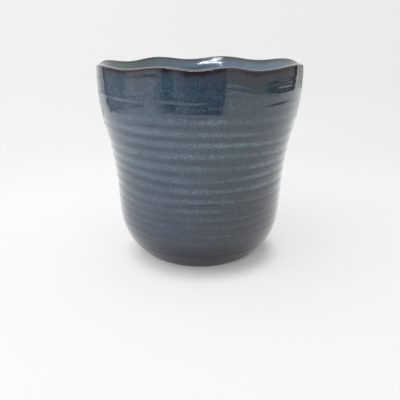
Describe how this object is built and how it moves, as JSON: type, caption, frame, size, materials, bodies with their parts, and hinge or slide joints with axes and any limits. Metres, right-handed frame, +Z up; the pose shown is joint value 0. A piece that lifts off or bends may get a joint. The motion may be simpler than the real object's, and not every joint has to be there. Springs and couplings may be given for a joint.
{
  "type": "flower vase",
  "caption": "Round glazed stoneware flower vase, flared above a rounded base, with a wavy rim, throwing rings and an unglazed foot ring.",
  "frame": {"origin": "on the vase's axis at the surface that its foot ring stands on", "axes": "+Z up along the vase's axis; -Y is the front"},
  "size_m": [0.1405, 0.1409, 0.1381],
  "materials": {
    "stoneware": "bare fired stoneware, matt",
    "blue_glaze": "glossy speckled blue reactive glaze",
    "brown_glaze": "glossy, thin, breaking brown over the lip",
    "liner_glaze": "glossy blue-green liner glaze"
  },
  "bodies": {
    "root": {"clay_body": "stoneware", "outer_glaze": "blue_glaze", "rim_glaze": "brown_glaze", "inner_glaze": "liner_glaze"}
  },
  "joints": []
}
